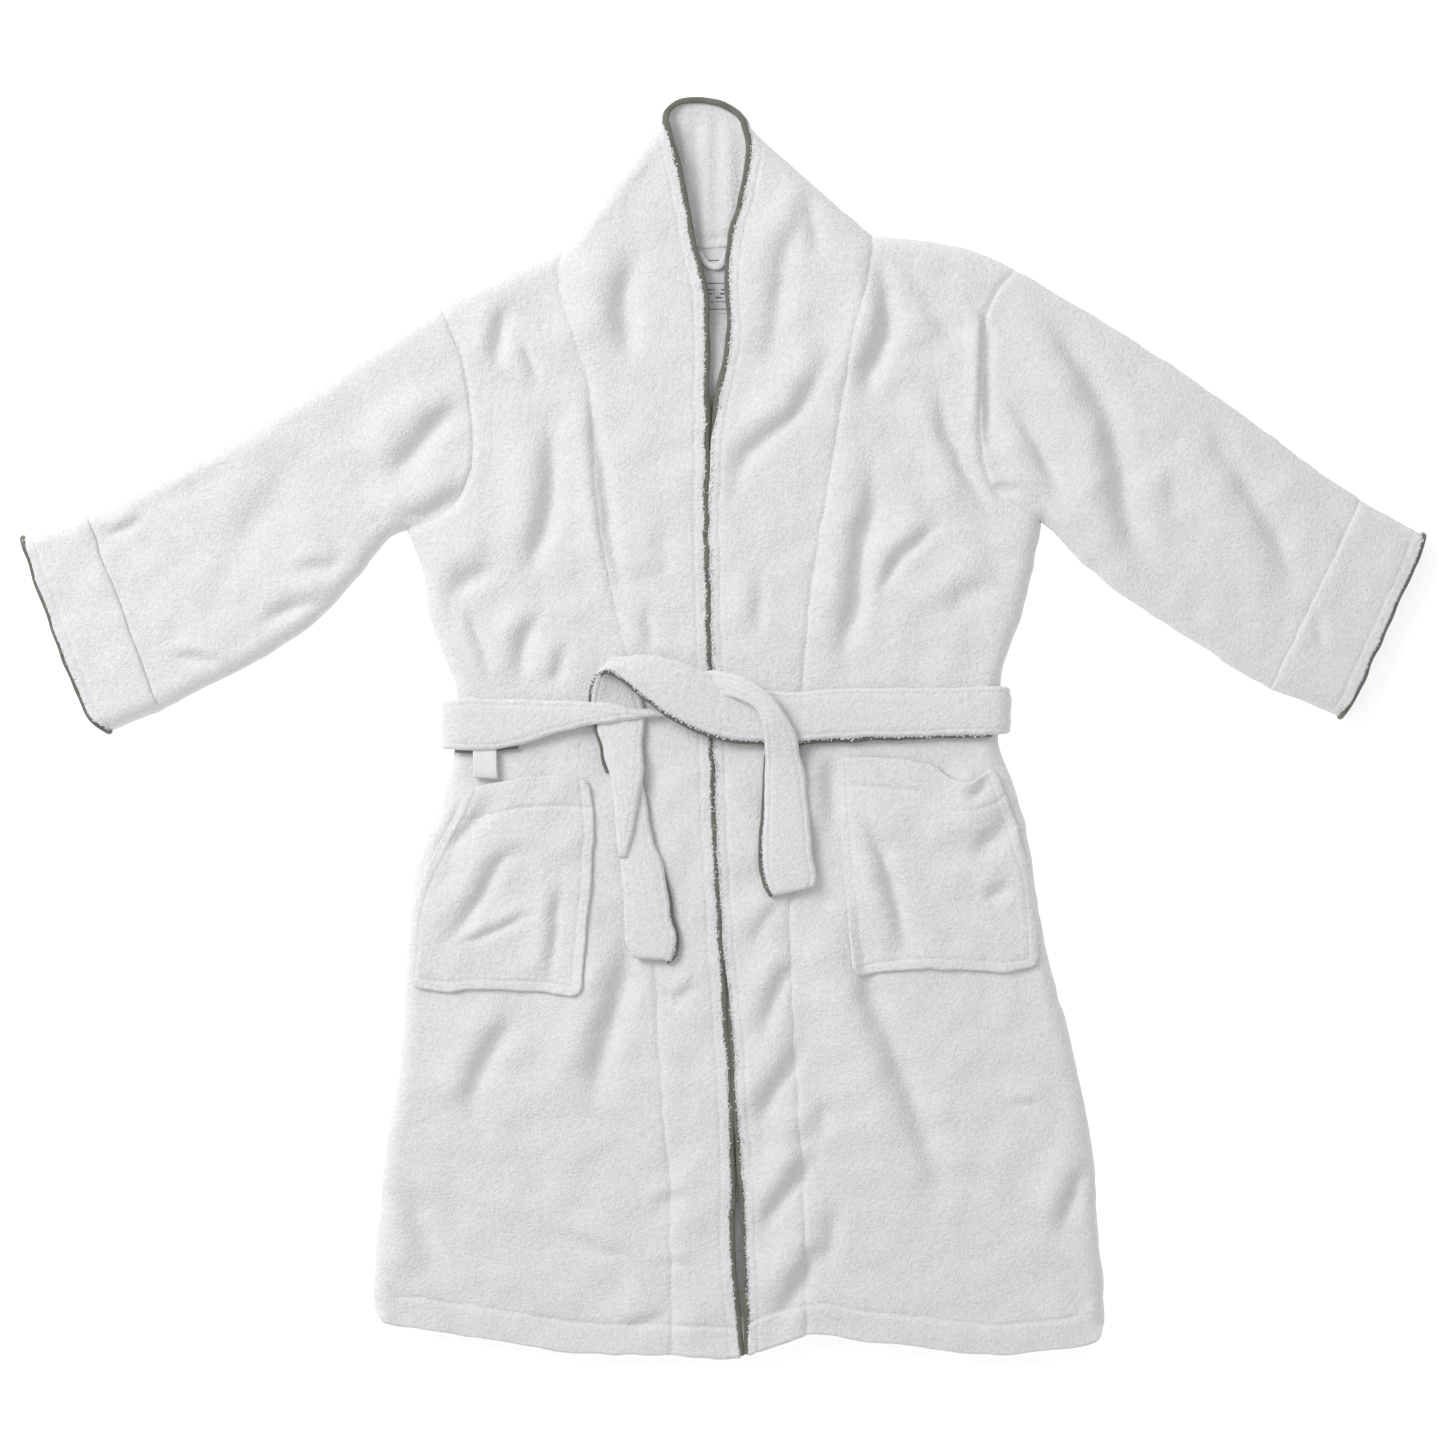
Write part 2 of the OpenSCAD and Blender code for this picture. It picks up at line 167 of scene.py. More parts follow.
# Folds: (half-width, height, then X, Y of each point). Each line runs down the slope's middle; the
# cloth is low on its left-hand side, seen along the line, and high on the other.
FOLDS = [
    (14, 9, -90, 490, -110, 430, -105, 380, -100, 350),
    (10, 6, -220, 435, -230, 395, -235, 350),
    (6, 3, -210, 390, -185, 335),
    (12, 8, -185, 325, -180, 275, -185, 205, -205, 160, -225, 140),
    (12, 7, -225, 165, -255, 155, -285, 135),
    (8, 6, -140, 355, -135, 305, -125, 245, -120, 195, -110, 150, -105, 105),
    (9, 5, -185, 125, -205, 85, -210, 35),
    (8, 4, -160, 90, -170, 60, -175, 35),
    (8, 3, -85, 125, -75, 70),
    (6, 3, -265, 125, -245, 75, -235, 35),
    (14, 3, -70, 205, -70, 140),
    (12, 5, 80, 560, 70, 515, 54, 475, 47, 435, 42, 395, 25, 345),
    (9, 4, 80, 560, 84, 500, 92, 455),
    (11, 9, 140, 475, 155, 435, 155, 395, 140, 355, 135, 315),
    (10, 6, 105, 395, 90, 355, 65, 315, 35, 290, 15, 270, 5, 235, 0, 210),
    (12, 9, 140, 285, 140, 225, 130, 175, 125, 125, 110, 75, 105, 45),
    (6, 6, 235, 435, 255, 410, 260, 395, 260, 345, 260, 295, 260, 255),
    (9, 5, 205, 355, 215, 305, 225, 275, 245, 235, 270, 195),
    (8, 6, 220, 215, 195, 190, 170, 170, 155, 140, 145, 125),
    (12, 4, 185, 425, 215, 395, 220, 375),
    (4, 1.5, 155, 480, 180, 455, 210, 430),
    (12, 4, 280, 150, 235, 135, 220, 105),
    (9, 3, 30, 165, 30, 85),
    (13, 9, -265, 335, -295, 305, -325, 270, -345, 245),
    (10, 7, -255, 255, -285, 225, -315, 210, -340, 190),
    (22, 4, -415, 295, -465, 235, -515, 165),
    (15, 3, -485, 275, -575, 225),
    (5, 4, -580, 215, -600, 200, -625, 195),
    (9, 6, -375, 125, -425, 125, -475, 105),
    (5, 4, -495, 60, -525, 70, -560, 75),
    (6, 3, -380, 165, -435, 160),
    (16, 10, 290, 450, 305, 425, 330, 385, 355, 345, 375, 305, 385, 265, 390, 225, 405, 175, 435,
     125),
    (14, 8, 475, 305, 490, 275, 515, 235, 540, 195, 560, 145, 575, 115),
    (9, 6, 280, 320, 305, 285, 320, 255, 335, 225),
    (10, 3, 440, 265, 445, 205),
    (4, 4, 300, 235, 280, 240, 265, 235),
    (8, 3, 585, 115, 595, 75),
    (5, 4, -260, -65, -280, -105, -300, -145),
    (9, 5.5, -185, -115, -225, -130, -245, -165, -265, -195, -295, -225),
    (9, 5, -225, -65, -265, -105, -290, -140),
    (7, 4, -160, -145, -170, -175, -175, -225, -180, -265),
    (5, 3, -185, -180, -225, -200, -275, -220),
    (12, 7, -205, -275, -235, -315, -255, -355, -265, -405),
    (14, 9, -105, -195, -110, -255, -125, -305, -135, -345, -135, -395),
    (14, 5, -325, -455, -315, -495, -295, -555),
    (8, 3, -85, -525, -125, -520, -175, -495),
    (6, 3, -55, -585, -105, -600),
    (5, 2.5, -25, -255, -55, -275),
    (6, 2, -35, -465, -75, -475),
    (4, 1.5, -25, -535, -75, -535),
    (12, 7, 100, -15, 100, -75, 105, -115),
    (15, 9, 120, -145, 125, -205, 135, -265, 155, -315, 170, -355, 185, -395, 205, -455, 215,
     -505),
    (9, 7, 125, -85, 145, -115, 160, -155, 170, -195, 175, -235),
    (7, 5, 262, -46, 251, -62, 236, -74),
    (15, 7, 296, -70, 264, -102, 236, -132),
    (8, 4, 285, -155, 255, -170),
    (8, 3, 62, -165, 35, -195, 22, -225),
    (9, 5, 76, -225, 52, -255, 38, -290, 32, -320),
    (11, 7, 80, -300, 62, -335, 40, -370, 30, -410),
    (10, 7, 92, -415, 68, -450, 45, -480, 30, -515),
    (11, 7, 92, -505, 76, -540, 60, -570, 36, -600),
    (10, 6, 105, -475, 100, -515, 90, -545),
    (10, 4, 90, -375, 95, -415),
    (10, 7, 375, -425, 355, -445, 340, -475, 330, -515),
    (6, 2.5, 320, -375, 275, -375),
]


# ---- lines and grids
def smooth(t):
    """Rises from 0 at 0 to 1 at 1, level at both ends."""
    t = np.clip(t, 0, 1)
    return t * t * (3 - 2 * t)


def quarter(t):
    """Rises from 0 at 0 to 1 at 1 as a quarter of a circle, level at 1."""
    return np.sqrt(1 - (1 - np.clip(t, 0, 1)) ** 2)


def bell(t):
    return np.exp(-(t**2))


def unit(v):
    return v / np.maximum(np.linalg.norm(v, axis=-1, keepdims=True), 1e-9)


def spline(points, step=3.0, counts=None):
    """Smooth line through points, about a step apart, or with that many pieces to each span."""
    p = np.array(points, float)
    span = np.linalg.norm(np.diff(p, axis=0), axis=1)
    slope = np.diff(p, axis=0) / span[:, None]
    middle = (p[2:] - p[:-2]) / (span[:-1] + span[1:])[:, None]
    tangent = np.vstack([slope[:1], middle, slope[-1:]])
    parts = []
    for i, length in enumerate(span):
        n = counts[i] if counts else max(1, int(np.ceil(length / step)))
        t = (np.arange(n) / n)[:, None]
        parts.append(
            (2 * t**3 - 3 * t**2 + 1) * p[i]
            + (t**3 - 2 * t**2 + t) * length * tangent[i]
            + (3 * t**2 - 2 * t**3) * p[i + 1]
            + (t**3 - t**2) * length * tangent[i + 1]
        )
    return np.vstack(parts + [p[-1:]])


def side_line(points, side):
    """Smooth line through points of a side's outline."""
    return spline(np.array(points, float) * (SIGN[side], 1))


def outline(table, side):
    return side_line(table[side], side)


def body_edge(side):
    """Outer edge of the fronts and the back: the armhole, then the side."""
    return np.vstack([outline(ARMHOLE, side)[:-1], outline(SIDE, side)])


def cuff_seam(side):
    return side_line([SLEEVE_TOP[side][-1], SLEEVE_UNDER[side][-1]], side)


def at(line, share):
    """Points at shares of the length of a line."""
    length = np.concatenate([[0], np.cumsum(np.linalg.norm(np.diff(line, axis=0), axis=1))])
    return np.stack([np.interp(share * length[-1], length, c) for c in line.T], axis=-1)


def between(line, high, low):
    """Part of a falling line between two heights."""
    ends = np.interp([high, low], line[::-1, 1], line[::-1, 0])
    inside = line[(line[:, 1] < high) & (line[:, 1] > low)]
    return np.vstack([[ends[0], high], inside, [ends[1], low]])


BATCH = 4000  # points measured at once, to bound the memory


def distance(xy, lines):
    """Distance of points from the nearest of several lines."""
    flat = xy.reshape(-1, 2)
    best = np.full(len(flat), 1e9)
    for line in lines:
        start, along = line[:-1], np.diff(line, axis=0)
        size = (along**2).sum(1)
        for k in range(0, len(flat), BATCH):
            rel = flat[k : k + BATCH, None] - start
            t = np.clip((rel * along).sum(2) / size, 0, 1)
            gap = ((rel - t[..., None] * along) ** 2).sum(2).min(1)
            best[k : k + BATCH] = np.minimum(best[k : k + BATCH], gap)
    return np.sqrt(best).reshape(xy.shape[:-1])


# Distances from an edge of the first points of a grid, close where the shape turns.
TICKS = {
    "roll": (0, 0.4, 1.2, 2.5, 4.2, 6.5, 9.5, 13, 17),
    "seam": (0, 0.8, 1.8, 3, 4.5, 6.5, 9),
    "stitched": (0, 0.8, 2, 4, 5.8, 7, 8.2, 9.4, 11.2, 14),
    "hem": (0, 0.8, 2, 5, 10, 16, 22, 25, 26.5, 28, 29.5, 31, 34),
    "strap": (0, 0.5, 1.5, 3, 4.8, 6, 7.2, 9),
    "tape": (0, 0.3, 0.8),
}
# Grid of each sheet: its length, its steps down and across between those first points, and
# which of them it has at its top, bottom, inner and outer edge.
GRIDS = {
    "front": (1090, 300, 66, "roll", "hem", "seam", "roll"),
    "back": (1090, 240, 128, "roll", "hem", "roll", "roll"),
    "shawl": (620, 170, 30, "seam", "seam", "stitched", "roll"),
    "band": (640, 180, 14, "seam", "hem", "stitched", "seam"),
    "collar_back": (145, 36, 60, "roll", "seam", "roll", "roll"),
    "sleeve": (230, 52, 90, "roll", "roll", "seam", "seam"),
    "cuff": (230, 52, 16, "roll", "roll", "seam", "stitched"),
    "pocket": (205, 100, 70, "hem", "stitched", "stitched", "stitched"),
}


def shares(width, count, start, end):
    """Shares of a width: the first points at its two ends and a count of steps between."""
    low, high = (np.array(TICKS[name]) for name in (start, end))
    low = low * min(1, 0.4 * width / low[-1])
    high = width - high[::-1] * min(1, 0.4 * width / high[-1])
    middle = np.linspace(low[-1], high[0], count + 1)[1:-1]
    return np.concatenate([low, middle, high]) / width


def patch(kind, inner, outer, top, bottom):
    """Grid of points between four lines that meet at their ends."""
    length, steps, columns, *ticks = GRIDS[kind]
    rows = shares(length, steps, *ticks[:2])
    a, b = at(inner, rows), at(outer, rows)
    across = np.array([shares(w, columns, *ticks[2:]) for w in np.linalg.norm(b - a, axis=1)])
    flat = a[:, None] + (b - a)[:, None] * across[..., None]
    first = at(top, across) - a[0] - (b[0] - a[0]) * across[..., None]
    last = at(bottom, across) - a[-1] - (b[-1] - a[-1]) * across[..., None]
    low = rows[:, None, None]
    return flat + first * (1 - low) + last * low


# ---- folds and unevenness
MAP_STEP = 2.0
MAP_X = np.arange(-740, 741, MAP_STEP)
MAP_Y = np.arange(-660, 661, MAP_STEP)
FOLD_REACH = 4.8  # half-widths from its line at which a fold ends
FOLD_FADE = 0.38  # share of a fold's length over which each end fades
FOLD_SKEW = 0.3  # makes the valley narrower than the crest
FOLD_GAIN = 1.5
PILE_DEPTH = 0.15
RUMPLE_DEPTH = 0.7
WAVER_DEPTH = 0.45


def fold_map():
    """Height of all the folds together."""
    height = np.zeros((len(MAP_Y), len(MAP_X)))
    for width, depth, *points in FOLDS:
        line = spline(np.reshape(points, (-1, 2)), 6)
        low, high = line.min(0) - FOLD_REACH * width, line.max(0) + FOLD_REACH * width
        cols = slice(*np.searchsorted(MAP_X, (low[0], high[0])))
        rows = slice(*np.searchsorted(MAP_Y, (low[1], high[1])))
        xy = np.stack(np.meshgrid(MAP_X[cols], MAP_Y[rows]), -1)[:, :, None]
        start, along = line[:-1], np.diff(line, axis=0)
        size = np.linalg.norm(along, axis=1)
        rel = xy - start
        t = np.clip((rel * along).sum(-1) / size**2, 0, 1)
        gap = np.linalg.norm(rel - t[..., None] * along, axis=-1)
        near = gap.argmin(-1)[..., None]
        turn = along[:, 0] * rel[..., 1] - along[:, 1] * rel[..., 0]
        s = np.take_along_axis(np.sign(turn) * gap, near, -1)[..., 0] / width
        run = (np.cumsum(size) - size + t * size) / size.sum()
        run = np.take_along_axis(run, near, -1)[..., 0]
        fade = smooth(run / FOLD_FADE) * smooth((1 - run) / FOLD_FADE)
        s = s * (1 + FOLD_SKEW * np.tanh(s))
        height[rows, cols] -= depth * s * np.exp(-0.5 * s**2) * fade
    return height


def noise_map(seed, short, long):
    """Uneven field of unit size whose waves are between two lengths."""
    noise = np.random.default_rng(seed).standard_normal((len(MAP_Y), len(MAP_X)))
    up = np.fft.fftfreq(len(MAP_Y), MAP_STEP)[:, None]
    f = np.hypot(up, np.fft.rfftfreq(len(MAP_X), MAP_STEP))
    field = np.fft.irfft2(np.fft.rfft2(noise) * (bell(f * short) - bell(f * long)), s=noise.shape)
    return field / field.std()


def sampled(field, xy):
    """Values of a map at points."""
    i = np.clip((xy[..., 0] - MAP_X[0]) / MAP_STEP, 0, len(MAP_X) - 1.001)
    j = np.clip((xy[..., 1] - MAP_Y[0]) / MAP_STEP, 0, len(MAP_Y) - 1.001)
    a, b = i.astype(int), j.astype(int)
    u, v = i - a, j - b
    low = field[b, a] * (1 - u) + field[b, a + 1] * u
    high = field[b + 1, a] * (1 - u) + field[b + 1, a + 1] * u
    return low * (1 - v) + high * v


PILE = PILE_DEPTH * noise_map(seed=3, short=7, long=16)
RUMPLE = RUMPLE_DEPTH * noise_map(seed=5, short=45, long=110)
RELIEF = FOLD_GAIN * fold_map() + RUMPLE
WAVER = [WAVER_DEPTH * noise_map(seed, short=30, long=80) for seed in (7, 8)]

ROLLED = []  # edges at which the upper layer rolls over into the lower one
for side in SIDES:
    for table in (COLLAR_FOLD, SHOULDER, SLEEVE_TOP, SLEEVE_UNDER, SIDE):
        ROLLED.append(outline(table, side))
    for table, end in ((SLEEVE_TOP, 0), (SLEEVE_UNDER, -1)):
        ROLLED.append(side_line([table[side][-1], CUFF_END[side][end]], side))


def dent(d, depth, width=2.2):
    """A groove along a line, from the distance to it."""
    return -depth * bell(d / width)


def under_belt(y):
    """1 where the belt holds the cloth flat, 0 away from it."""
    return bell(((y - BELT_Y) / 36) ** 2)


def upper(xy, level):
    """Height of the upper face of the layer that reaches a level away from rolled edges."""
    d = distance(xy, ROLLED)
    calm = smooth(d / (1.6 * ROLL)) * (1 - 0.9 * under_belt(xy[..., 1]))
    full = level + calm * sampled(RELIEF, xy) + sampled(PILE, xy)
    return RIM + (full - RIM) * quarter(d / ROLL)


def lower(xy):
    """Height of the lower face: flat on the surface, turned up at rolled edges."""
    return RIM * (1 - quarter(distance(xy, ROLLED) / ROLL))


# ---- meshes
def make(name, points, faces):
    """Mesh piece from points in millimetres, all drawn a little unevenly across the surface."""
    points = np.array(points, float)
    points[:, :2] += np.stack([sampled(field, points) for field in WAVER], -1)
    points[:, 2] = np.maximum(points[:, 2], 0)
    mesh = bpy.data.meshes.new(name)
    mesh.from_pydata((points * MM).tolist(), [], faces)
    turned = bmesh.new()
    turned.from_mesh(mesh)
    bmesh.ops.recalc_face_normals(turned, faces=turned.faces)
    turned.to_mesh(mesh)
    turned.free()
    mesh.polygons.foreach_set("use_smooth", [True] * len(mesh.polygons))
    piece = bpy.data.objects.new(name, mesh)
    bpy.context.collection.objects.link(piece)
    return piece


def grid_normals(grid, around=False):
    """Evened normals of a grid of points; around closes the grid along its rows."""
    full = np.concatenate([grid[-1:], grid, grid[:1]]) if around else grid
    faces = np.cross(full[1:, 1:] - full[:-1, :-1], full[:-1, 1:] - full[1:, :-1])
    for _ in range(2):
        padded = np.pad(faces, ((0 if around else 1,) * 2, (1, 1), (0, 0)), mode="edge")
        corners = padded[:-1, :-1] + padded[1:, :-1] + padded[:-1, 1:] + padded[1:, 1:]
        points = unit(corners)
        full = np.concatenate([points[-1:], points, points[:1]]) if around else points
        faces = full[1:, 1:] + full[:-1, :-1]
        faces = faces + full[:-1, 1:] + full[1:, :-1]
    return points


def quads(a, b, c, d):
    return np.stack([a, b, c, d], -1).reshape(-1, 4).tolist()


RIM_TURNS = np.radians([40, 90, 140])
RIM_BULGE = 0.45  # how far a rim stands out, as a share of the thickness


def cloth(name, grid, thickness, up=1, around=False):
    """Closed sheet under a grid of points on its outer face, with rounded rims.

    up is 1 where the outer face looks up and -1 where it looks down. around closes the grid
    along its rows, which makes a tube whose outer face is outside.
    """
    normal = grid_normals(grid, around)
    if around:
        middle = grid.mean(axis=0, keepdims=True)
        out = np.sign(((grid - middle) * normal).sum())
    else:
        out = up * np.sign(normal[..., 2].sum())
    normal = normal * out
    rows, cols = grid.shape[:2]
    index = np.arange(rows * cols).reshape(rows, cols)
    shift = rows * cols
    if around:
        index = np.vstack([index, index[:1]])
        rims = [
            (index[:-1, 0], grid[:, 0] - grid[:, 1]),
            (index[:-1, -1], grid[:, -1] - grid[:, -2]),
        ]
    else:
        ring = np.concatenate([index[0, :-1], index[:-1, -1], index[-1, :0:-1], index[:0:-1, 0]])
        away = np.zeros_like(grid)
        away[0] += unit(grid[0] - grid[1])
        away[-1] += unit(grid[-1] - grid[-2])
        away[:, 0] += unit(grid[:, 0] - grid[:, 1])
        away[:, -1] += unit(grid[:, -1] - grid[:, -2])
        rims = [(ring, away.reshape(-1, 3)[ring])]
    flat_grid, flat_normal = grid.reshape(-1, 3), normal.reshape(-1, 3)
    points = [flat_grid, flat_grid - flat_normal * thickness]
    corners = [index[:-1, :-1], index[1:, :-1], index[1:, 1:], index[:-1, 1:]]
    faces = quads(*corners)
    faces += quads(*(shift + corner for corner in corners[:1] + corners[:0:-1]))
    count = 2 * shift
    for ring, away in rims:
        face, n = flat_grid[ring], flat_normal[ring]
        centre = face - n * thickness / 2
        loops = [ring]
        for turn in RIM_TURNS:
            bulge = RIM_BULGE * thickness * np.sin(turn) * unit(away)
            points.append(centre + n * np.cos(turn) * thickness / 2 + bulge)
            loops.append(count + np.arange(len(ring)))
            count += len(ring)
        loops.append(ring + shift)
        for one, two in zip(loops, loops[1:]):
            faces += quads(one, np.roll(one, -1), np.roll(two, -1), two)
    return make(name, np.vstack(points), faces)


def tube(name, loops, closed=False):
    """Piece from loops of points, each joined to the next; it has two caps or is closed."""
    count, size = loops.shape[:2]
    index = np.arange(count * size).reshape(count, size)
    caps = [] if closed else [index[0].tolist(), index[-1].tolist()]
    if closed:
        index = np.vstack([index, index[:1]])
    turned = np.roll(index, -1, axis=1)
    faces = quads(index[:-1], turned[:-1], turned[1:], index[1:])
    return make(name, loops.reshape(-1, 3), faces + caps)


STITCH_IN = 6  # distance of a strap's stitching from its edges
STITCH_WIDTH = 1.3


def strap(name, one, two, thickness, step=3.5, stitch=1.0, crown=0.6, ticks="strap", rough=0.25):
    """Padded strap between two edges: lists of (x, y, z) with the same number of points."""
    one, two = np.array(one, float), np.array(two, float)
    spans = np.maximum(*(np.linalg.norm(np.diff(edge, axis=0), axis=1) for edge in (one, two)))
    counts = [max(1, int(np.ceil(s / step))) for s in spans]
    a, b = spline(one, counts=counts), spline(two, counts=counts)
    width = np.linalg.norm(b - a, axis=1)
    normal = unit(np.cross(unit(np.gradient((a + b) / 2, axis=0)), unit(b - a)))
    share = np.array([shares(w, 8, ticks, ticks) for w in width])
    from_edge = np.minimum(share, 1 - share) * width[:, None]
    half = thickness / 2 * quarter(from_edge / (0.75 * thickness))
    half = half + crown * np.sin(np.pi * share)
    half = half - stitch * bell((from_edge - STITCH_IN) / STITCH_WIDTH)
    half = np.maximum(half, 0.05)
    from_end = np.minimum(np.arange(len(a)), np.arange(len(a))[::-1])[:, None]
    half = half * quarter((from_end + 0.15) / 1.6)
    half[:, 0] = 0
    half[:, -1] = 0
    line = a[:, None] + (b - a)[:, None] * share[..., None]
    pile = rough * sampled(PILE, line[..., :2] + 0.6 * line[..., 2:]) / PILE_DEPTH
    face = line + normal[:, None] * (half + pile * (half > 0.5))[..., None]
    back = line - normal[:, None] * half[..., None]
    return tube(name, np.concatenate([face, back[:, -2:0:-1]], axis=1))


CORD_SIDES = 12


def cord(name, path, width, height, up=(0, 0, 1), closed=False):
    """Cord of rounded flat section along a path, with its height toward up."""
    path = np.asarray(path, float)
    along = np.roll(path, -1, 0) - np.roll(path, 1, 0) if closed else np.gradient(path, axis=0)
    side = unit(np.cross(np.broadcast_to(up, path.shape), along))
    top = unit(np.cross(along, side))
    turn = np.arange(CORD_SIDES) * 2 * np.pi / CORD_SIDES
    x, z = (np.sign(c) * np.abs(c) ** 0.7 for c in (np.cos(turn), np.sin(turn)))
    x, z = x * width / 2, z * height / 2
    return tube(name, path[:, None] + side[:, None] * x[:, None] + top[:, None] * z[:, None], closed)


TUFT_GAP = 1.1
TUFT_SIZES = (0.7, 1.5)
OCTAHEDRON = np.array([(1, 0, 0), (0, 1, 0), (-1, 0, 0), (0, -1, 0), (0, 0, 1), (0, 0, -1)], float)
OCTAHEDRON_FACES = [(k, (k + 1) % 4, 4) for k in range(4)] + [((k + 1) % 4, k, 5) for k in range(4)]


def tufts(name, lines, seed, spread=0.9, **moves):
    """Loops of pile that stand over the edge of the piping along lines."""
    rng = np.random.default_rng(seed)
    points, faces = [], []
    for line in lines:
        length = np.linalg.norm(np.diff(line, axis=0), axis=1).sum()
        places = at(line, (np.arange(int(length / TUFT_GAP)) + 0.5) * TUFT_GAP / length)
        places = places + rng.normal(0, spread, places.shape) * (1, 1, 0.5)
        for place in places:
            size = rng.uniform(*TUFT_SIZES, 3)
            turn = rng.uniform(0, np.pi)
            c, s = np.cos(turn), np.sin(turn)
            spin = np.array([[c, -s, 0], [s, c, 0], [0, 0, 1]])
            base = len(points) * len(OCTAHEDRON)
            points.append(place + (OCTAHEDRON * size) @ spin.T)
            faces += [[base + i for i in face] for face in OCTAHEDRON_FACES]
    finish(make(name, np.vstack(points), faces), "terry", **moves)


# ---- materials
class Look:
    """Material made of nodes, whose textures lie in the robe's own coordinates."""

    def __init__(self, name, colour, roughness):
        self.material = bpy.data.materials.new(name)
        self.material.use_nodes = True
        self.tree = self.material.node_tree
        self.shade({"Base Color": (*colour, 1), "Roughness": roughness})
        self.place = self.node("TexCoord", {}, "Object")

    def put(self, sockets, values):
        """Sets sockets to values, or links them to the outputs of other nodes."""
        for key, value in values.items():
            if isinstance(value, bpy.types.NodeSocket):
                self.tree.links.new(value, sockets[key])
            else:
                sockets[key].default_value = value

    def shade(self, values):
        self.put(self.tree.nodes["Principled BSDF"].inputs, values)

    def node(self, kind, values, output, **settings):
        node = self.tree.nodes.new("ShaderNode" + kind)
        for key, value in settings.items():
            setattr(node, key, value)
        self.put(node.inputs, values)
        return node.outputs[output]

    def noise(self, wave, detail, place=None):
        place = self.place if place is None else place
        values = {"Scale": 1 / (wave * MM), "Detail": detail, "Vector": place}
        return self.node("TexNoise", values, "Fac")

    def ramp(self, value, low, high):
        """Colour between two along a value."""
        colour = self.node("ValToRGB", {"Fac": value}, "Color")
        stops = colour.node.color_ramp.elements
        for stop, position, shade in zip(stops, (0.3, 0.7), (low, high)):
            stop.position = position
            stop.color = (*shade, 1)
        return colour

    def bump(self, height, depth, strength, before=None):
        values = {"Height": height, "Distance": depth * MM, "Strength": strength}
        if before is not None:
            values["Normal"] = before
        return self.node("Bump", values, "Normal")

    def math(self, operation, a, b):
        return self.node("Math", {0: a, 1: b}, 0, operation=operation)


def make_terry():
    """White towelling: looped pile, faint clumps, soft sheen, and a speckled colour that is partly
    the pile's own uneven tone and partly painted shade between its tufts.
    """
    look = Look("terry", (0.8, 0.8, 0.8), 0.95)
    clumps = look.bump(look.noise(7, 3), 1.4, 0.2)
    pile = look.bump(look.noise(2.6, 3), 1.3, 0.8, clumps)
    loops = look.node("TexVoronoi", {"Scale": 1 / (2.6 * MM), "Vector": look.place}, "Distance")
    look.shade({
        # Speckled base colour: partly the pile's own uneven tone, partly painted shade between its
        # tufts.
        "Base Color": look.ramp(look.noise(4, 4), (0.74, 0.735, 0.755), (0.84, 0.835, 0.845)),
        "Normal": look.bump(loops, 0.8, 0.5, pile),
        "Sheen Weight": 0.08,
        "Sheen Roughness": 0.6,
        "Specular IOR Level": 0.2,
    })
    return look.material


def make_piping():
    """Sage cotton piping with a fine slanting weave."""
    look = Look("piping", (0.15, 0.165, 0.13), 0.85)
    values = {"Scale": 1 / (4.5 * MM), "Distortion": 1.5, "Vector": look.place}
    weave = look.node("TexWave", values, "Fac", bands_direction="DIAGONAL")
    threads = look.bump(look.noise(2, 2), 0.5, 0.5)
    look.shade({
        "Base Color": look.ramp(look.noise(14, 3), (0.125, 0.135, 0.11), (0.18, 0.19, 0.155)),
        "Normal": look.bump(weave, 0.4, 0.6, threads),
        "Sheen Weight": 0.15,
    })
    return look.material


def make_tape():
    """Smooth white woven tape with fine ribs."""
    look = Look("tape", (0.8, 0.8, 0.8), 0.7)
    ribs = look.node("TexWave", {"Scale": 1 / (5 * MM), "Vector": look.place}, "Fac")
    look.shade({
        "Base Color": look.ramp(look.noise(6, 2), (0.78, 0.78, 0.78), (0.83, 0.83, 0.83)),
        "Normal": look.bump(ribs, 0.3, 0.5),
    })
    return look.material


LABEL_RULES = (466.5, 443.5, 417.5)
LABEL_ROWS = (437, 433, 429, 425)


def make_label():
    """Woven label with plain rules and rows of plain dashes."""
    look = Look("label", (0.8, 0.8, 0.8), 0.6)
    height = look.node("SeparateXYZ", {"Vector": look.place}, "Y")

    def line_at(y, half):
        """1 within a half-width of a height, 0 elsewhere."""
        away = look.math("ABSOLUTE", look.math("SUBTRACT", height, y * MM), 0)
        return look.math("LESS_THAN", away, half * MM)

    ink = 0
    for y in LABEL_RULES:
        ink = look.math("MAXIMUM", ink, line_at(y, 0.5))
    values = {0: look.place, 1: (1, 0.2, 1)}
    stretched = look.node("VectorMath", values, "Vector", operation="MULTIPLY")
    dashes = look.math("GREATER_THAN", look.noise(1.6, 1, stretched), 0.47)
    for y in LABEL_ROWS:
        ink = look.math("MAXIMUM", ink, look.math("MULTIPLY", line_at(y, 0.8), dashes))
    values = {"A": (0.72, 0.72, 0.74, 1), "B": (0.08, 0.08, 0.08, 1), "Factor": ink}
    look.shade({
        "Base Color": look.node("Mix", values, "Result", data_type="RGBA"),
        "Normal": look.bump(look.noise(0.7, 1), 0.1, 0.4),
    })
    return look.material


def make_surface():
    """Plain pale floor, bright enough to read as white."""
    look = Look("floor", (0.9, 0.9, 0.9), 0.9)
    look.shade({
        "Base Color": look.ramp(look.noise(400, 1), (0.9, 0.9, 0.9), (0.92, 0.92, 0.92)),
        "Emission Color": (1, 1, 1, 1),
        "Emission Strength": 0.5,
    })
    return look.material


SLOTS = {"terry": make_terry(), "piping": make_piping(), "tape": make_tape(), "label": make_label()}


